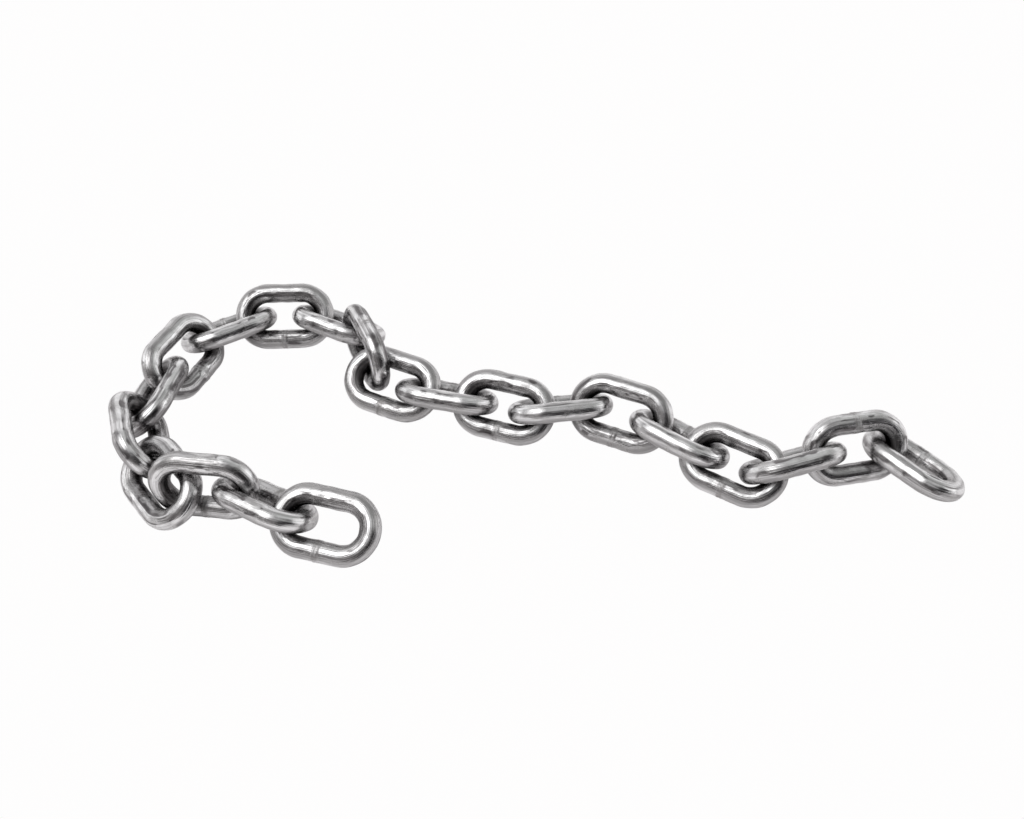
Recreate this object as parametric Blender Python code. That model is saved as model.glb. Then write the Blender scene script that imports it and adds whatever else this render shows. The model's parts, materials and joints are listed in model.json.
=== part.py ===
"""A length of round-link welded steel chain, lying on a level floor as it was put down.

Twenty-one equal links. The free end lies in front, the chain goes back round a hook and then
runs slackly off to the right. Each link is a bar of round section, bent to a long ring with two
straight sides, and closed by a butt weld in the middle of one side. The links alternate, each
leaning over to the side that its neighbours do not, so that every link rests on the floor.

Metres, +Z up. The origin is in the middle of the chain's box, at floor level.
"""
import math

import bpy
import numpy as np
from mathutils import Matrix, Vector

# driving dimensions
BAR = 0.0075
PITCH = 0.0246
INSIDE_WIDTH = 0.011

# the weld is a low collar round the middle of one straight side
WELD_LENGTH = 0.6 * BAR
WELD_SWELL = 1.05

# the facets of the bar: points round each end of a link, and sides of the bar's section
END_STEPS = 8
SECTION_SMOOTHNESS = 4

# the finish of polished stainless steel
STEEL_COLOUR = (0.62, 0.62, 0.63, 1.0)
STEEL_ROUGHNESS = 0.18

# where the links lie, from the free end on: the middle of each link on the floor in
# millimetres, the heading of its long axis in degrees from +X, and its roll in degrees,
# positive where the side to the left of the heading is the higher one
LAY = [
    (-63.0, -63.5, -15, 31),
    (-84.5, -55.0, 151, 37),
    (-105.5, -50.0, -7, 78),
    (-122.5, -45.0, 130, -34),
    (-133.5, -25.0, 109, 57),
    (-134.5, -3.5, -101, 38),
    (-127.0, 17.0, 68, 51),
    (-113.0, 35.0, -149, 32),
    (-91.5, 41.5, 2, 43),
    (-69.5, 37.0, 154, 35),
    (-56.5, 20.0, 115, -86),
    (-45.5, 4.0, -25, 33),
    (-24.5, -3.0, 166, 35),
    (-3.0, -8.5, -18, 34),
    (18.0, -10.0, -172, 39),
    (40.0, -13.5, -24, 48),
    (60.5, -24.5, 143, 35),
    (78.5, -36.5, -31, 30),
    (99.0, -37.5, -161, 47),
    (122.0, -31.5, -169, -58),
    (142.5, -36.0, 130, 27),
]

bar_radius = BAR / 2
half_width = (INSIDE_WIDTH + BAR) / 2
half_length = (PITCH + BAR) / 2
half_straight = half_length - half_width


def ring_points():
    """The centre line of a link in its own plane, as (x, y, swell of the bar) round the ring.

    Two half circles of radius half_width, joined by straights of 2 * half_straight. The side
    at -Y carries the weld, so it has the collar's points as well.
    """
    points = []
    for end in (1, -1):
        for step in range(END_STEPS + 1):
            angle = math.pi * (step / END_STEPS - 0.5)
            x = end * (half_straight + half_width * math.cos(angle))
            y = end * half_width * math.sin(angle)
            points.append((x, y, 1.0))
    weld = [(-0.75, 1.0), (-0.5, WELD_SWELL), (0.5, WELD_SWELL), (0.75, 1.0)]
    points += [(along * WELD_LENGTH, -half_width, swell) for along, swell in weld]
    return points


def link_mesh():
    """One link as a closed round bar along the ring's centre line."""
    curve = bpy.data.curves.new("link_bar", "CURVE")
    curve.dimensions = "3D"
    curve.bevel_depth = bar_radius
    curve.bevel_resolution = SECTION_SMOOTHNESS
    curve.render_resolution_u = 0
    spline = curve.splines.new("POLY")
    points = ring_points()
    spline.points.add(len(points) - 1)
    for point, (x, y, swell) in zip(spline.points, points):
        point.co = (x, y, 0.0, 1.0)
        point.radius = swell
    spline.use_cyclic_u = True
    bar = bpy.data.objects.new("link_bar", curve)
    bpy.context.scene.collection.objects.link(bar)
    graph = bpy.context.evaluated_depsgraph_get()
    mesh = bpy.data.meshes.new_from_object(bar.evaluated_get(graph))
    bpy.data.objects.remove(bar)
    mesh.name = "link"
    mesh.shade_smooth()
    return mesh


def steel():
    """Polished stainless steel."""
    material = bpy.data.materials.new("polished_steel")
    material.use_nodes = True
    shader = material.node_tree.nodes["Principled BSDF"]
    shader.inputs["Base Color"].default_value = STEEL_COLOUR
    shader.inputs["Metallic"].default_value = 1.0
    shader.inputs["Roughness"].default_value = STEEL_ROUGHNESS
    return material


def turn(heading, roll):
    """The rotation of a link: rolled about its long axis first, then turned to its heading."""
    return Matrix.Rotation(math.radians(heading), 3, "Z") @ Matrix.Rotation(math.radians(roll), 3, "X")


def corners(mesh):
    """The mesh's vertices as rows of an array."""
    places = np.empty(len(mesh.vertices) * 3)
    mesh.vertices.foreach_get("co", places)
    return places.reshape(-1, 3)


def clear_scene():
    for thing in list(bpy.data.objects):
        bpy.data.objects.remove(thing)


def lay_chain():
    """Every link as its own object, set down until its lowest point meets the floor."""
    chain = bpy.data.collections.new("steel_chain")
    bpy.context.scene.collection.children.link(chain)
    mesh = link_mesh()
    mesh.materials.append(steel())
    vertices = corners(mesh)
    links = []
    low = np.full(3, np.inf)
    high = -low
    for number, (x, y, heading, roll) in enumerate(LAY, start=1):
        rotation = turn(heading, roll)
        turned = vertices @ np.array(rotation).T
        place = np.array([x / 1000, y / 1000, -turned[:, 2].min()])
        low = np.minimum(low, turned.min(axis=0) + place)
        high = np.maximum(high, turned.max(axis=0) + place)
        link = bpy.data.objects.new(f"link_{number:02d}", mesh)
        link.matrix_world = Matrix.Translation(Vector(place)) @ rotation.to_4x4()
        chain.objects.link(link)
        links.append(link)
    middle = (low + high) / 2
    for link in links:
        link.location.x -= middle[0]
        link.location.y -= middle[1]
    return links


clear_scene()
lay_chain()
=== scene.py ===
# %% [markdown]
# # A length of polished round-link chain
#
# The real thing is twenty-one equal links of round stainless steel bar. Each was bent to a long ring, closed
# by a butt weld in the middle of one side, and tumbled until it shone. The solids already say where every
# link lies. This script gives each link its fine surface and its finish, and puts the chain under soft
# studio light.
#
# The lesson has five steps: read each link's place from its solid, work out one fine ring as a surface on a
# grid, put it into a mesh, build the polished steel, and light it so that the bright and dark bands fall
# where the real ones do.

# %% Load the solids
import json
import math

import bpy
import numpy as np
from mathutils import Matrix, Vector

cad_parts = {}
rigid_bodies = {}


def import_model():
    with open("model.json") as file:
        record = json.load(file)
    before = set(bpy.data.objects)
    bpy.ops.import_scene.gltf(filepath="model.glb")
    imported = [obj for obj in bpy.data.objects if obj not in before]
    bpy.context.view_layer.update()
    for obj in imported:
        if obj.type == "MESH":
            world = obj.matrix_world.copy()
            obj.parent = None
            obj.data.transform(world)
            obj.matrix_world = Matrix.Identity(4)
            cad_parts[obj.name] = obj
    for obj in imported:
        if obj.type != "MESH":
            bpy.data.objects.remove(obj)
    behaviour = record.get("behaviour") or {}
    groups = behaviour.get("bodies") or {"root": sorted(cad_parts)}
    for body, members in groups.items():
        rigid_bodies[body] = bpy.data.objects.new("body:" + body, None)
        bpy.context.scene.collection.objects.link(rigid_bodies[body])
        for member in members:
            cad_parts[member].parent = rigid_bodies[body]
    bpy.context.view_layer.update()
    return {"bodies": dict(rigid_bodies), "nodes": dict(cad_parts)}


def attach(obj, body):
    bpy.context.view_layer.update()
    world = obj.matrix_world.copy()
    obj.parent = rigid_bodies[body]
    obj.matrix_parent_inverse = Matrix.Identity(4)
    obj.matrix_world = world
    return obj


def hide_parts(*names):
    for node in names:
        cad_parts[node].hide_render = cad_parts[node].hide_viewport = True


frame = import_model()

# %% [markdown]
# ## Where each link lies
#
# Every link leans on its neighbours at its own angle, so each fine link needs its own place. It could be
# typed in again, but the solids hold it already. The corners of a link's solid spread furthest along its
# length, less across its width and least through its thickness, so the three directions of spread are the
# link's own axes. Only the side that carries the weld is left to find, and that is the side whose straight
# has corners on it.

# %% Sizes of one link
BAR = 0.0075
PITCH = 0.0246
INSIDE_WIDTH = 0.011

bar_radius = BAR / 2
half_width = (INSIDE_WIDTH + BAR) / 2
half_straight = (PITCH + BAR) / 2 - half_width
ring_length = 4 * half_straight + 2 * math.pi * half_width
print("length of one link's centre line: %.1f mm" % (1000 * ring_length))

# %% Read a link's place from its solid
near_middle = half_straight / 2  # this near to the middle of a link, only the weld's collar has corners
past_straights = half_straight * 1.2  # this far from the middle, every corner belongs to a round end


def corners_of(node):
    """The corners of a solid as rows (x, y, z)."""
    mesh = frame["nodes"][node].data
    coordinates = np.empty(len(mesh.vertices) * 3)
    mesh.vertices.foreach_get("co", coordinates)
    return coordinates.reshape(-1, 3)


def middle_of(values):
    """Half way between the lowest and the highest value."""
    return (values.min() + values.max()) / 2


def place_of(node):
    """A link's middle, and its long, wide and thick directions as the columns of an array.

    The directions are the eigenvectors of the corners' spread, most first. The wide one points away from the
    weld: near the middle of the link only the welded side has corners, so their mean lies on the weld's side.
    The middle is half way along the link, and half way across its two round ends, where no collar widens it.
    """
    corners = corners_of(node)
    rough_middle = (corners.min(axis=0) + corners.max(axis=0)) / 2
    spread, directions = np.linalg.eigh(np.cov((corners - rough_middle).T))
    axes = directions[:, np.argsort(spread)[::-1]]
    axes[:, 0] *= np.sign(axes[0, 0])
    own = (corners - rough_middle) @ axes
    on_weld_side = own[np.abs(own[:, 0]) < near_middle, 1].mean()
    axes[:, 1] *= -np.sign(on_weld_side)
    axes[:, 2] = np.cross(axes[:, 0], axes[:, 1])
    own = (corners - rough_middle) @ axes
    ends = own[np.abs(own[:, 0]) > past_straights]
    offset = np.array([middle_of(own[:, 0]), middle_of(ends[:, 1]), middle_of(own[:, 2])])
    return rough_middle + axes @ offset, axes


node_names = sorted(frame["nodes"])
places = {name: place_of(name) for name in node_names}
print("first link lies at", np.round(places[node_names[0]][0], 4))

# %% [markdown]
# ## One link as a surface
#
# A link is a round bar carried round a ring, so its surface needs two numbers: how far along the ring, and
# how far round the bar. The ring is two straights and two half circles. It could be a curve with a bevel,
# but a real link is never quite that even: the bending machine leaves the ends a little flatter outside than
# inside, the sides bow by a hair, and the tumbler knocks soft dents into the steel. Those small faults are
# what makes the reflections wander, so they are in the shape here, as a few waves of a tenth of a millimetre
# or less.

# %% The grid's directions
ROWS_ALONG = 216
ROWS_ROUND = 48
CROWDING = 0.55  # rows crowd towards the weld by this share, because it holds the finest shape

turns = np.arange(ROWS_ALONG) / ROWS_ALONG - 0.5
crowded_turns = turns - CROWDING * np.sin(2 * math.pi * turns) / (2 * math.pi)
along = (ring_length * crowded_turns)[:, None]
round_bar = (2 * math.pi * np.arange(ROWS_ROUND) / ROWS_ROUND)[None, :]
print("rows are %.2f mm apart at the weld" % (1000 * np.diff(along[:, 0]).min()))


# %% The ring's centre line
def centre_line(s):
    """The centre line at arc length s from the weld: its x and y, and its outward direction's x and y.

    With t how far round an end the point is, from 0 at the welded side to pi at the plain one,
    x = min(|s|, straight) + half_width * sin(t) - max(|s| - straight - pi * half_width, 0) and
    y = -half_width * cos(t). Outward is (sin(t), -cos(t)). The left half mirrors the right one.
    """
    side = np.where(s < 0, -1.0, 1.0)
    distance = np.abs(s)
    t = np.clip((distance - half_straight) / half_width, 0.0, math.pi)
    back = np.maximum(distance - half_straight - math.pi * half_width, 0.0)
    x = side * (np.minimum(distance, half_straight) + half_width * np.sin(t) - back)
    y = -half_width * np.cos(t)
    return x, y, side * np.sin(t), -np.cos(t)


x_on_ring, y_on_ring, x_outward, y_outward = centre_line(along)
end_share = np.abs(x_outward)  # 0 on the straights and 1 at the tips of the round ends
print("the centre line is %.1f by %.1f mm" % (1000 * np.ptp(x_on_ring), 1000 * np.ptp(y_on_ring)))


# %% The weld's collar
WELD_HEIGHT = 0.00010
WELD_HALF_LENGTH = 0.0012
FLASH_HEIGHT = 0.00008
FLASH_PLACE = 0.0006  # how far each ridge of flash lies from the seam
FLASH_WIDTH = 0.00030
FLASH_WANDER = 0.0002  # how far the ridges and the seam stray along the bar
FLASH_FADE = 0.45  # how much a ridge fades round the bar: its height swings between 1 and 1 - 2 * this
SEAM_DEPTH = 0.00004
SEAM_WIDTH = 0.00022


def weld_mask(s):
    """1 on the weld and 0 away from it: exp(-(s / half length) ** 4)."""
    return np.exp(-((s / WELD_HALF_LENGTH) ** 4))


def ridge(s, place, width):
    """A round-topped ridge across the bar: exp(-((s - place) / width) ** 2)."""
    return np.exp(-(((s - place) / width) ** 2))


def weld_collar(s, v, random):
    """How far the weld stands out of the bar, at s along and v round it.

    A flat-topped swelling, two low ridges where the squeezed-out flash was trimmed, and a fine seam between
    them. The ridges wander and fade in and out round the bar, as waves of v with random phases.
    """
    phases = random.uniform(0, 2 * math.pi, 4)
    wander = FLASH_WANDER * (np.sin(2 * v + phases[0]) + np.sin(5 * v + phases[1]) / 2)
    left_share = 1 - FLASH_FADE + FLASH_FADE * np.sin(v + phases[2])
    right_share = 1 - FLASH_FADE + FLASH_FADE * np.sin(2 * v + phases[3])
    left_flash = left_share * ridge(s, wander - FLASH_PLACE, FLASH_WIDTH)
    right_flash = right_share * ridge(s, wander + FLASH_PLACE, FLASH_WIDTH)
    seam = ridge(s, wander / 2, SEAM_WIDTH)
    return WELD_HEIGHT * weld_mask(s) + FLASH_HEIGHT * (left_flash + right_flash) - SEAM_DEPTH * seam


print("rows on the weld:", int((weld_mask(along) > 0.5).sum()))

# %% Dents and bows
DENT_HEIGHT = 0.00012
DENT_WAVES = 14
DENTS_ALONG = (3, 19)  # how many waves go round the ring, from the first number to below the second
DENTS_ROUND = (0, 5)  # how many go round the bar
DENT_FALL = 0.12  # how much lower a dent is for each more of its waves round the ring
BOW_HEIGHT = 0.00008
BOW_PERIODS = (2, 3, 4)
END_FLATTENING = 0.012


def dents(s, v, random):
    """Soft dents: the sum of waves sin(2 pi m s / ring + n v + phase), each over 1 + DENT_FALL * |m|.

    The numbers m and n are whole, so that the dents close round the ring and round the bar.
    """
    total = np.zeros(np.broadcast(s, v).shape)
    for _ in range(DENT_WAVES):
        m = random.integers(*DENTS_ALONG) * random.choice([-1, 1])
        n = random.integers(*DENTS_ROUND)
        phase = random.uniform(0, 2 * math.pi)
        total += np.sin(2 * math.pi * m * s / ring_length + n * v + phase) / (1 + DENT_FALL * abs(m))
    return DENT_HEIGHT * total / math.sqrt(DENT_WAVES)


def bow(s, random):
    """How far the ring strays from its drawing at s: slow waves sin(2 pi n s / ring + phase), each over n."""
    total = np.zeros(s.shape)
    for periods in BOW_PERIODS:
        phase = random.uniform(0, 2 * math.pi)
        total += np.sin(2 * math.pi * periods * s / ring_length + phase) / periods
    return BOW_HEIGHT * total


sample = dents(along, round_bar, np.random.default_rng(0))
print("dents reach %.2f mm" % (1000 * np.abs(sample).max()))


# %% The whole surface of a link
def link_surface(random):
    """Points of a link's skin in its own axes, with the grid's rows along the ring and round the bar.

    A point is centre line + radius * (cos(v) * outward + sin(v) * thick), where the radius is the bar's, less
    the flattening of the ends' outer side, plus the collar and the dents. The bows move the centre line, in
    the ring's plane and out of it.
    """
    flattening = END_FLATTENING * end_share * (1 + np.cos(round_bar)) / 2
    radius = bar_radius * (1 - flattening)
    radius = radius + weld_collar(along, round_bar, random) + dents(along, round_bar, random)
    outward = radius * np.cos(round_bar) + bow(along, random)
    thick = radius * np.sin(round_bar) + bow(along, random)
    points = np.stack([x_on_ring + outward * x_outward, y_on_ring + outward * y_outward, thick], axis=-1)
    return points.reshape(-1, 3)


def ring_faces():
    """Four corners for each cell of the closed grid, turned so that the faces point out of the bar."""
    i = np.arange(ROWS_ALONG)[:, None]
    j = np.arange(ROWS_ROUND)[None, :]
    here = i * ROWS_ROUND
    ahead = ((i + 1) % ROWS_ALONG) * ROWS_ROUND
    next_j = (j + 1) % ROWS_ROUND
    return np.stack([here + j, ahead + j, ahead + next_j, here + next_j], axis=-1).reshape(-1, 4)


faces = ring_faces()
print("a fine link has", 2 * len(faces), "triangles")

# %% [markdown]
# ## Put the surface into a mesh
#
# The lines left by drawing the bar run along it, the weld has a finish of its own, and the inside of a ring
# is rougher and painted darker as shade. Where two links touch, the steel is painted nearly black as shade. A
# picture wrapped round each ring could say so, but it would have a seam. So each corner carries five
# attributes
# instead, which the steel can read: where it is round the bar, as a point on a circle, how much it belongs to
# the weld, how much to the inside, how much painted contact shade it holds, and how dull its link is.

# %% The inside of the ring
INSIDE_FULL = 0.65  # the inner side is full where -cos(v) is more than this
INSIDE_STRAIGHT = 0.30  # how much of the inside's painted shade and roughness the straights have
INSIDE_END = 0.92  # and how much the tips of the round ends have


def ease(share):
    """A smooth rise from 0 to 1: share ** 2 * (3 - 2 * share)."""
    return share * share * (3 - 2 * share)


def inside_mask(v):
    """0 outside the ring and most on its inner side at the tips of the ends: ease(-cos(v)) * a share."""
    inward = np.clip(-np.cos(v) / INSIDE_FULL, 0.0, 1.0)
    return ease(inward) * (INSIDE_STRAIGHT + (INSIDE_END - INSIDE_STRAIGHT) * end_share**2)


# the inside mask darkens the inner side of each ring as painted shade, and makes it rougher
inside = inside_mask(round_bar)
print("the inside's finish reaches %.2f in the round ends" % inside.max())

# %% Where links nearly touch
# painted shade where two links touch: the steel is darkened within this reach of a neighbour
CONTACT_SHADE_REACH = 0.0085
CONTACT_SHADE_OUTSIDE = 0.3  # how much of the painted contact shade lies on the outer side of the ring


def neighbours_of(node):
    """The links before and after this one in the chain."""
    number = node_names.index(node)
    return [node_names[other] for other in (number - 1, number + 1) if 0 <= other < len(node_names)]


def contact_shade_mask(points, node):
    """A mask of painted shade: 1 where a link touches a neighbour and 0 beyond the shade's reach from it.

    In the neighbour's own axes, its centre line is at distance hypot(rho - half_width, z), where rho is the
    distance from the nearest point of its middle straight: rho = hypot(max(|x| - half_straight, 0), y).
    """
    gap = np.full(len(points), CONTACT_SHADE_REACH)
    for neighbour in neighbours_of(node):
        middle, axes = places[neighbour]
        x, y, z = ((points - middle) @ axes).T
        rho = np.hypot(np.maximum(np.abs(x) - half_straight, 0), y)
        gap = np.minimum(gap, np.hypot(rho - half_width, z) - bar_radius)
    return ease(np.clip(1 - gap / CONTACT_SHADE_REACH, 0.0, 1.0))


print(node_names[1], "touches", neighbours_of(node_names[1]))

# %% Give the corners their attributes
# three links have lost some of their shine: how dark their streaks are
DULL_LINKS = {"link_05": 0.35, "link_06": 0.75, "link_11": 0.75}


def add_attribute(mesh, name, kind, values):
    """One value, or one vector, for each corner of the mesh."""
    attribute = mesh.attributes.new(name, kind, "POINT")
    field = "vector" if kind == "FLOAT_VECTOR" else "value"
    attribute.data.foreach_set(field, np.ascontiguousarray(values, dtype=np.float32).ravel())


def add_marks(mesh, node, points):
    """The five attributes that the steel reads, each worked out on the whole grid."""
    shape = (ROWS_ALONG, ROWS_ROUND)
    on_circle = [np.broadcast_to(part, shape) for part in (np.cos(round_bar), np.sin(round_bar), 0.0)]
    grime = contact_shade_mask(points, node).reshape(shape)
    add_attribute(mesh, "round_bar", "FLOAT_VECTOR", np.stack(on_circle, axis=-1))
    add_attribute(mesh, "weld", "FLOAT", np.broadcast_to(weld_mask(along), shape))
    add_attribute(mesh, "inside", "FLOAT", inside)
    # painted shade where links touch, full on the inner side of the ring and weaker outside
    add_attribute(mesh, "grime", "FLOAT", grime * (CONTACT_SHADE_OUTSIDE + (1 - CONTACT_SHADE_OUTSIDE) * inside))
    add_attribute(mesh, "dull", "FLOAT", np.full(shape, DULL_LINKS.get(node, 0.0)))


# %% Make the links
body_of_node = {
    node: empty.name.removeprefix("body:")
    for empty in frame["bodies"].values()
    for node in node_names
    if frame["nodes"][node].parent is empty
}


def make_link(node):
    """The fine link that stands for a solid, with its place in its mesh and its object at the origin."""
    random = np.random.default_rng(node_names.index(node) + 1)
    middle, axes = places[node]
    points = link_surface(random) @ axes.T + middle
    points[:, 2] -= points[:, 2].min()  # the small faults lift or sink a link, so it is set down again
    mesh = bpy.data.meshes.new(node + "_polished")
    mesh.from_pydata(points, [], faces)
    add_marks(mesh, node, points)
    mesh.shade_smooth()
    link = bpy.data.objects.new(node + "_polished", mesh)
    bpy.context.scene.collection.objects.link(link)
    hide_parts(node)
    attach(link, body_of_node[node])
    return link


links = [make_link(node) for node in node_names]
print("fine links:", len(links), "triangles in all:", 2 * len(faces) * len(links))

# %% [markdown]
# ## Polished steel
#
# Tumbled stainless steel is a mirror with a history. The drawing die left lines along the bar, fine ones
# that stand out and wide ones that are only lighter or darker, and here and there a dark smudge follows
# them. The tumbler left small knocks, a fine even grain, cloudy patches where it rubbed less, and a few
# scuffs. The weld is duller and a little darker. The inside of each ring keeps the die's streaks, is rougher
# and is painted darker as shade, and next to its neighbours it is painted nearly black as shade.
#
# All of these could be painted, but noise that is drawn out along the bar gives them without a picture and
# without a seam. Lines, grain and scuffs are each a small group of nodes, so that the parts of a link can
# use them in their own measure.


# %% Node helpers
def feed(tree, socket, value):
    """Link a socket to another one, or give it a plain value."""
    if isinstance(value, bpy.types.NodeSocket):
        tree.links.new(value, socket)
    else:
        socket.default_value = value


def add_node(tree, kind, settings=None, **inputs):
    """A node with its settings set and its inputs fed, each by its name, or by its place as _0, _1, _2."""
    node = tree.nodes.new("ShaderNode" + kind)
    for name, value in (settings or {}).items():
        setattr(node, name, value)
    for name, value in inputs.items():
        socket = node.inputs[int(name[1:])] if name[0] == "_" else node.inputs[name.replace("_", " ")]
        feed(tree, socket, value)
    return node


def use_group(tree, group, **inputs):
    """A group placed in a tree, with its inputs fed."""
    return add_node(tree, "Group", {"node_tree": group}, **inputs)


def math_node(tree, operation, first, second, third=0.0):
    """The result of one calculation, such as first * second, or first * second + third."""
    return add_node(tree, "Math", {"operation": operation}, _0=first, _1=second, _2=third).outputs[0]


def eased_range(tree, value, low, high, top=1.0):
    """0 where the value is below low and top where it is above high, with a smooth rise between."""
    eased = add_node(tree, "MapRange", {"interpolation_type": "SMOOTHSTEP"},
                     Value=value, From_Min=low, From_Max=high, To_Max=top)
    return eased.outputs["Result"]


def mix_colour(tree, share, first, second):
    """The first colour where the share is 0 and the second where it is 1."""
    return add_node(tree, "Mix", {"data_type": "RGBA"}, _0=share, _6=first, _7=second).outputs[2]


def new_group(name, inputs, outputs):
    """An empty node group with the named number or vector sockets, and its input and output nodes."""
    group = bpy.data.node_groups.new(name, "ShaderNodeTree")
    for socket_name, kind, value in inputs:
        socket = group.interface.new_socket(socket_name, in_out="INPUT", socket_type="NodeSocket" + kind)
        if value is not None:
            socket.default_value = value
    for socket_name, kind in outputs:
        group.interface.new_socket(socket_name, in_out="OUTPUT", socket_type="NodeSocket" + kind)
    return group, group.nodes.new("NodeGroupInput"), group.nodes.new("NodeGroupOutput")


# %% Lines along the bar
def drawn_lines_group():
    """Height of the lines along the bar: noise on the circle round the bar, which drifts slowly along it."""
    group, given, out = new_group(
        "Drawn lines",
        [
            ("Round bar", "Vector", None),
            ("Place", "Vector", None),
            ("Lines round bar", "Float", 9.0),
            ("Drift", "Float", 2.2),
        ],
        [("Height", "Float")],
    )
    drift = add_node(group, "TexNoise", Vector=given.outputs["Place"], Scale=70.0, Detail=1.0)
    circle = add_node(group, "VectorMath", {"operation": "SCALE"},
                      _0=given.outputs["Round bar"], Scale=given.outputs["Lines round bar"])
    parts = add_node(group, "SeparateXYZ", _0=circle.outputs[0])
    slow = math_node(group, "MULTIPLY", drift.outputs["Fac"], given.outputs["Drift"])
    place = add_node(group, "CombineXYZ", _0=parts.outputs[0], _1=parts.outputs[1], _2=slow)
    lines = add_node(group, "TexNoise", Vector=place.outputs[0], Scale=1.0, Detail=3.0, Roughness=0.55)
    group.links.new(lines.outputs["Fac"], out.inputs["Height"])
    return group


drawn_lines = drawn_lines_group()
print(drawn_lines.name + ":", len(drawn_lines.nodes), "nodes")

# %% Grain, knocks and clouds
CLOUD_RANGE = (0.42, 0.68)  # from polished steel to the middle of a cloud


def tumbled_grain_group():
    """Heights of the fine grain and of the wider knocks, and a mask of the patches with less polish."""
    group, given, out = new_group(
        "Tumbled grain",
        [
            ("Place", "Vector", None),
            ("Grain", "Float", 2600.0),
            ("Clouds", "Float", 190.0),
            ("Knocks", "Float", 520.0),
        ],
        [("Height", "Float"), ("Cloudy", "Float"), ("Knock height", "Float")],
    )
    place = given.outputs["Place"]
    knocks = add_node(group, "TexNoise", Vector=place, Scale=given.outputs["Knocks"], Detail=1.0)
    grain = add_node(group, "TexNoise", Vector=place, Scale=given.outputs["Grain"], Detail=2.0)
    clouds = add_node(group, "TexNoise", Vector=place, Scale=given.outputs["Clouds"], Detail=4.0)
    cloudy = eased_range(group, clouds.outputs["Fac"], *CLOUD_RANGE)
    group.links.new(knocks.outputs["Fac"], out.inputs["Knock height"])
    group.links.new(grain.outputs["Fac"], out.inputs["Height"])
    group.links.new(cloudy, out.inputs["Cloudy"])
    return group


tumbled_grain = tumbled_grain_group()
print(tumbled_grain.name + ":", len(tumbled_grain.nodes), "nodes")


# %% Scuffs
def scuffs_group():
    """A mask of short bright scratches: thin level lines of a noise that is stretched along one direction."""
    group, given, out = new_group(
        "Scuffs",
        [("Place", "Vector", None), ("Scale", "Float", 120.0), ("Share", "Float", 0.02)],
        [("Scuff", "Float")],
    )
    stretched = add_node(group, "Mapping",
                         Vector=given.outputs["Place"], Rotation=(0.5, 0.9, 0.3), Scale=(1, 6, 1))
    noise = add_node(group, "TexNoise",
                     Vector=stretched.outputs[0], Scale=given.outputs["Scale"], Detail=1.5)
    away = math_node(group, "SUBTRACT", noise.outputs["Fac"], 0.5)
    distance = math_node(group, "ABSOLUTE", away, 0.0)
    line = math_node(group, "LESS_THAN", distance, given.outputs["Share"])
    group.links.new(line, out.inputs["Scuff"])
    return group


scuffs = scuffs_group()
print(scuffs.name + ":", len(scuffs.nodes), "nodes")

# %% The marks on a link
# of each kind of line: how many go round the bar, and how fast they change along it
LINES = {"fine lines": (7.0, 2.2), "wide lines": (2.2, 2.7), "smudges": (1.5, 5.2), "inner lines": (4.0, 2.2)}


def steel_marks(tree):
    """The links' attributes and the outputs of the groups, by name: all that the steel is worked out from."""
    place = add_node(tree, "TexCoord").outputs["Object"]
    circle = add_node(tree, "Attribute", {"attribute_name": "round_bar"}).outputs["Vector"]
    marks = {}
    for name in ("weld", "inside", "grime", "dull"):
        marks[name] = add_node(tree, "Attribute", {"attribute_name": name}).outputs["Fac"]
    for name, (count, drift) in LINES.items():
        lines = use_group(tree, drawn_lines,
                          Round_bar=circle, Place=place, Lines_round_bar=count, Drift=drift)
        marks[name] = lines.outputs["Height"]
    grain = use_group(tree, tumbled_grain, Place=place)
    weld_grain = use_group(tree, tumbled_grain, Place=place, Grain=900.0, Clouds=500.0)
    marks["grain"] = grain.outputs["Height"]
    marks["knocks"] = grain.outputs["Knock height"]
    marks["clouds"] = grain.outputs["Cloudy"]
    marks["weld clouds"] = weld_grain.outputs["Cloudy"]
    marks["weld pits"] = math_node(tree, "MULTIPLY", weld_grain.outputs["Height"], marks["weld"])
    marks["scuffs"] = use_group(tree, scuffs, Place=place).outputs["Scuff"]
    return marks


# %% The colour of the steel
STEEL_DARK = (0.40, 0.39, 0.393, 1.0)
STEEL_BRIGHT = (0.95, 0.945, 0.95, 1.0)
CLOUDY_STEEL = (0.50, 0.49, 0.485, 1.0)
SMUDGE_STEEL = (0.11, 0.100, 0.103, 1.0)
WELD_STEEL = (0.34, 0.325, 0.32, 1.0)
# the inner side's colours, darker than the outer steel: painted shade inside the ring
INNER_SHADE_DARK = (0.07, 0.064, 0.064, 1.0)
INNER_SHADE_LIGHT = (0.40, 0.385, 0.385, 1.0)
# nearly black: painted shade where two links touch
CONTACT_SHADE_COLOUR = (0.035, 0.03, 0.032, 1.0)
STREAK_RANGE = (0.36, 0.60)  # from dark streaks to bright steel
SMUDGE_RANGE = (0.53, 0.64)  # from clean steel to the middle of a smudge
INNER_RANGE = (0.38, 0.62)  # from dark to light streaks on the inside
CLOUD_SHARE = 0.5
SMUDGE_SHARE = 0.85
WELD_SHARE = 0.15  # how much of the weld's colour lies all over it
WELD_PATCHES = 0.7  # and how much more lies in its patches
# how much of the painted shade where links touch is laid on
CONTACT_SHADE_SHARE = 0.92


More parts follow.
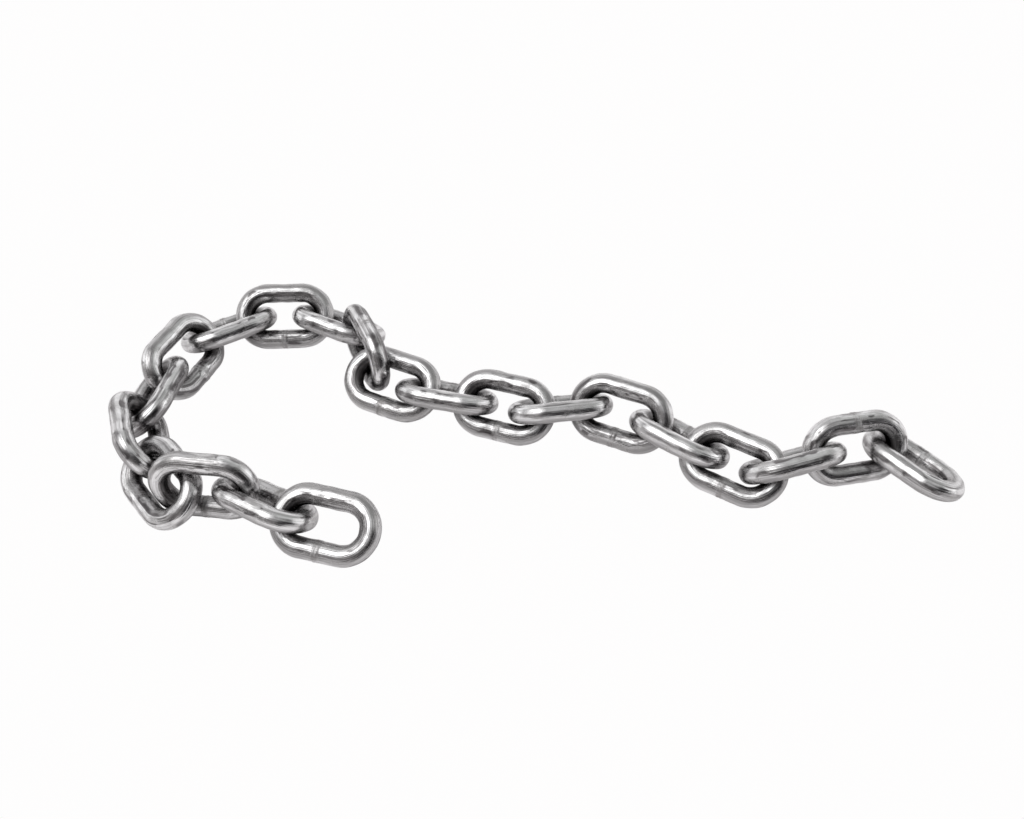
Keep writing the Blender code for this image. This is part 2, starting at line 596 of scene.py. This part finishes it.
def steel_colour(tree, marks):
    """The colours laid over each other: the streaks first, and last the painted shade where links touch."""
    streaks = eased_range(tree, marks["wide lines"], *STREAK_RANGE)
    streaked = mix_colour(tree, streaks, STEEL_DARK, STEEL_BRIGHT)
    cloud_share = math_node(tree, "MULTIPLY", marks["clouds"], CLOUD_SHARE)
    clouded = mix_colour(tree, cloud_share, streaked, CLOUDY_STEEL)
    smudge_share = eased_range(tree, marks["smudges"], *SMUDGE_RANGE, SMUDGE_SHARE)
    smudged = mix_colour(tree, smudge_share, clouded, SMUDGE_STEEL)
    dark_streaks = math_node(tree, "SUBTRACT", 1.0, streaks)
    dull_share = math_node(tree, "MULTIPLY", marks["dull"], dark_streaks)
    dulled = mix_colour(tree, dull_share, smudged, SMUDGE_STEEL)
    weld_patches = math_node(tree, "MULTIPLY_ADD", marks["weld clouds"], WELD_PATCHES, WELD_SHARE)
    weld_share = math_node(tree, "MULTIPLY", marks["weld"], weld_patches)
    outer = mix_colour(tree, weld_share, dulled, WELD_STEEL)
    # the inner side gets darker colours: painted shade inside the ring
    inner_streaks = eased_range(tree, marks["inner lines"], *INNER_RANGE)
    inner = mix_colour(tree, inner_streaks, INNER_SHADE_DARK, INNER_SHADE_LIGHT)
    with_inner_shade = mix_colour(tree, marks["inside"], outer, inner)
    # last, painted shade where two links touch
    contact_shade_share = math_node(tree, "MULTIPLY", marks["grime"], CONTACT_SHADE_SHARE)
    return mix_colour(tree, contact_shade_share, with_inner_shade, CONTACT_SHADE_COLOUR)


# %% The polish and the relief of the steel
BRIGHT_ROUGHNESS = 0.12
# how much rougher each mark makes the steel
ADDED_ROUGHNESS = {"clouds": 0.10, "scuffs": 0.10, "weld": 0.24, "inside": 0.18}
# how high each mark stands, in metres
MARK_HEIGHTS = {"fine lines": 0.00016, "knocks": 0.00006, "grain": 0.0000025, "weld pits": 0.00003}


def sum_of_marks(tree, start, amounts, marks):
    """start + the sum of every mark times its amount."""
    total = start
    for name, amount in amounts.items():
        total = math_node(tree, "MULTIPLY_ADD", marks[name], amount, total)
    return total


def polished_steel():
    """Bright steel whose colour, roughness and height are all worked out from the marks on a link."""
    material = bpy.data.materials.new("polished_steel")
    material.use_nodes = True
    tree = material.node_tree
    marks = steel_marks(tree)
    height = sum_of_marks(tree, 0.0, MARK_HEIGHTS, marks)
    bump = add_node(tree, "Bump", Height=height, Strength=1.0, Distance=1.0)
    shader = tree.nodes["Principled BSDF"]
    shader.inputs["Metallic"].default_value = 1.0
    feed(tree, shader.inputs["Base Color"], steel_colour(tree, marks))
    feed(tree, shader.inputs["Roughness"], sum_of_marks(tree, BRIGHT_ROUGHNESS, ADDED_ROUGHNESS, marks))
    feed(tree, shader.inputs["Normal"], bump.outputs["Normal"])
    return material


steel = polished_steel()
for link in links:
    link.data.materials.append(steel)
print("material:", steel.name, "with", len(steel.node_tree.nodes), "nodes")

# %% [markdown]
# ## The camera
#
# The picture is taken from in front and above, a little over forty centimetres away, so the near links look
# larger than the far ones. The camera looks along +Y, and its place follows from the point that it aims at.

# %% Set the camera
AIM = Vector((-0.0062, 0.0114, 0.0))
CAMERA_ELEVATION = math.radians(45.9)
CAMERA_DISTANCE = 0.4158
PHOTO_WIDTH = 1024
FOCAL_PIXELS = 1085  # the focal length, in the same pixels as the width
SENSOR = 36.0
NEAREST_SEEN = 0.01

camera_data = bpy.data.cameras.new("camera")
camera_data.sensor_width = SENSOR
camera_data.lens = SENSOR * FOCAL_PIXELS / PHOTO_WIDTH
camera_data.clip_start = NEAREST_SEEN
camera = bpy.data.objects.new("camera", camera_data)
bpy.context.scene.collection.objects.link(camera)
towards_camera = Vector((0, -math.cos(CAMERA_ELEVATION), math.sin(CAMERA_ELEVATION)))
camera.location = AIM + CAMERA_DISTANCE * towards_camera
camera.rotation_euler = (-towards_camera).to_track_quat("-Z", "Y").to_euler()
bpy.context.scene.camera = camera
print("camera at", [round(c, 4) for c in camera.location])

# %% [markdown]
# ## Floor and studio light
#
# A mirror shows its surroundings, so the surroundings are half of the finish. One big softbox hangs high on
# the left, a little towards the camera, and gives every bar its white band. Its lamp makes the middle
# brighter, and its grey rim gives the band an edge. A white strip low on the left and a white card low on
# the right light the bars that run away from the camera. The walls are light grey, the ceiling is a middle
# grey, and the room in front is dark, most of all on the right, which gives the thin dark lines beside the
# bands. The floor is pale and plain.
#
# The lights could be lamps and cards that stand round the chain. As soft-edged patches on the world's sky
# they light the steel in the same way, and nothing stands in the room that could hide the chain.

# %% The floor
FLOOR_HALF = 3.0
FLOOR_ROUGHNESS = 0.9
FLOOR_COLOUR = (0.94, 0.925, 0.93, 1.0)
FLOOR_WHITE = (0.99, 0.985, 0.985, 1.0)
FLOOR_GLOW = (0.15, 0.147, 0.148, 1.0)
BLACK = (0.0, 0.0, 0.0, 1.0)


def pale_floor():
    """A matt pale floor in the steel's reflections, and an even white where the camera looks at it."""
    material = bpy.data.materials.new("pale_floor")
    material.use_nodes = True
    tree = material.node_tree
    shader = tree.nodes["Principled BSDF"]
    shader.inputs["Roughness"].default_value = FLOOR_ROUGHNESS
    shader.inputs["Specular IOR Level"].default_value = 0.0
    straight = add_node(tree, "LightPath").outputs["Is Camera Ray"]
    feed(tree, shader.inputs["Base Color"], mix_colour(tree, straight, FLOOR_COLOUR, BLACK))
    feed(tree, shader.inputs["Emission Color"], mix_colour(tree, straight, FLOOR_GLOW, FLOOR_WHITE))
    shader.inputs["Emission Strength"].default_value = 1.0
    return material


floor_mesh = bpy.data.meshes.new("floor")
floor_corners = [(x * FLOOR_HALF, y * FLOOR_HALF, 0.0) for x, y in ((-1, -1), (1, -1), (1, 1), (-1, 1))]
floor_mesh.from_pydata(floor_corners, [], [(0, 1, 2, 3)])
floor_mesh.materials.append(pale_floor())
floor = bpy.data.objects.new("floor", floor_mesh)
bpy.context.scene.collection.objects.link(floor)
print("floor:", 2 * FLOOR_HALF, "m square")

# %% The room and its softbox
ROOM_COLOUR = (0.85, 0.845, 0.85, 1.0)
# each patch: azimuth and elevation of its middle, how many degrees from there it ends and is still full, and
# its colour
PATCHES = {
    "ceiling": (25, 62, 52, 26, (0.48, 0.485, 0.48, 1.0)),
    "softbox rim": (-160, 61, 50, 32, (0.36, 0.355, 0.36, 1.0)),
    "front left": (-120, 12, 60, 26, (0.22, 0.21, 0.21, 1.0)),
    "front right": (-55, 22, 46, 18, (0.04, 0.038, 0.04, 1.0)),
    "left stand": (-173, 14, 20, 8, (0.42, 0.41, 0.41, 1.0)),
    "left strip": (170, 11, 16, 5, (1.25, 1.25, 1.25, 1.0)),
    "right card": (2, 20, 24, 8, (1.15, 1.15, 1.15, 1.0)),
    "softbox": (-162, 61, 34, 13, (1.5, 1.5, 1.5, 1.0)),
    "lamp": (-158, 60, 15, 4, (3.0, 3.0, 3.0, 1.0)),
}


def patch_share(tree, direction, azimuth, elevation, ends, full):
    """0 further than ends degrees from the patch's middle and 1 nearer than full degrees, eased between.

    The cosine of the angle between two directions is their dot product, so the range is one of cosines.
    """
    a = math.radians(azimuth)
    e = math.radians(elevation)
    middle = (math.cos(e) * math.cos(a), math.cos(e) * math.sin(a), math.sin(e))
    dot = add_node(tree, "VectorMath", {"operation": "DOT_PRODUCT"}, _0=direction, _1=middle)
    return eased_range(tree, dot.outputs["Value"], math.cos(math.radians(ends)), math.cos(math.radians(full)))


def room():
    """Light grey walls all round, and over them the patches, each mixed over the ones before it."""
    world = bpy.data.worlds.new("room")
    world.use_nodes = True
    tree = world.node_tree
    direction = add_node(tree, "TexCoord").outputs["Generated"]
    colour = ROOM_COLOUR
    for azimuth, elevation, ends, full, patch_colour in PATCHES.values():
        share = patch_share(tree, direction, azimuth, elevation, ends, full)
        colour = mix_colour(tree, share, colour, patch_colour)
    feed(tree, tree.nodes["Background"].inputs["Color"], colour)
    return world


bpy.context.scene.world = room()
bpy.context.scene.view_settings.view_transform = "Standard"
print("world:", bpy.context.scene.world.name)
